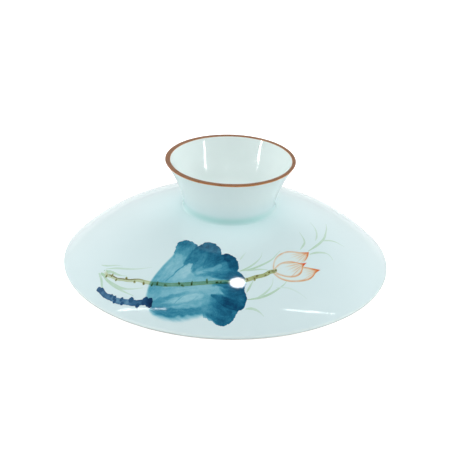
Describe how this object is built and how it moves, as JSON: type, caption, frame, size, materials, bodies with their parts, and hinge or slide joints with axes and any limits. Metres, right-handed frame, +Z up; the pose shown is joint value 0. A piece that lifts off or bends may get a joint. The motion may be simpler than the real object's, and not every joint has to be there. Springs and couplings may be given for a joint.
{
  "type": "gaiwan lid",
  "caption": "Round porcelain lid for a lidded tea bowl: a shallow dome with a flared hollow ring knob, pale celadon glaze, a brown edge on the knob and a painted lotus.",
  "frame": {"origin": "centre of the foot of the rim, on the plane that the lid stands on", "axes": "+Z up along the dome's axis; the painting is on the -Y half, with its leaf at the front and its flower towards +X"},
  "size_m": [0.092, 0.092, 0.033],
  "materials": {
    "porcelain": "fired, unglazed, satin",
    "slip": "fired clay slip",
    "celadon_glaze": "glossy pale blue-green glaze",
    "iron_brown": "satin iron-brown wash",
    "cobalt_wash": "blue wash under a glossy glaze",
    "navy_line": "dark blue under a glossy glaze",
    "olive_line": "olive green under a glossy glaze",
    "umber_dabs": "dark brown under a glossy glaze",
    "petal_wash": "pale coral under a glossy glaze",
    "coral_red": "coral red under a glossy glaze",
    "grass_green": "pale green under a glossy glaze"
  },
  "bodies": {
    "root": {"lid_plate": "porcelain", "knob_cup": "porcelain", "luting_slip": "slip", "glaze_upper": "celadon_glaze", "glaze_under": "celadon_glaze", "glaze_knob_outer": "celadon_glaze", "glaze_knob_well": "celadon_glaze", "knob_rim_band": "iron_brown", "lotus_leaf": "cobalt_wash", "cut_stalk": "navy_line", "flower_stem": "olive_line", "stem_thorns": "umber_dabs", "lotus_bud": "petal_wash", "bud_tips": "coral_red", "grass_left": "grass_green", "grass_right": "grass_green", "grass_upper": "grass_green"}
  },
  "joints": []
}
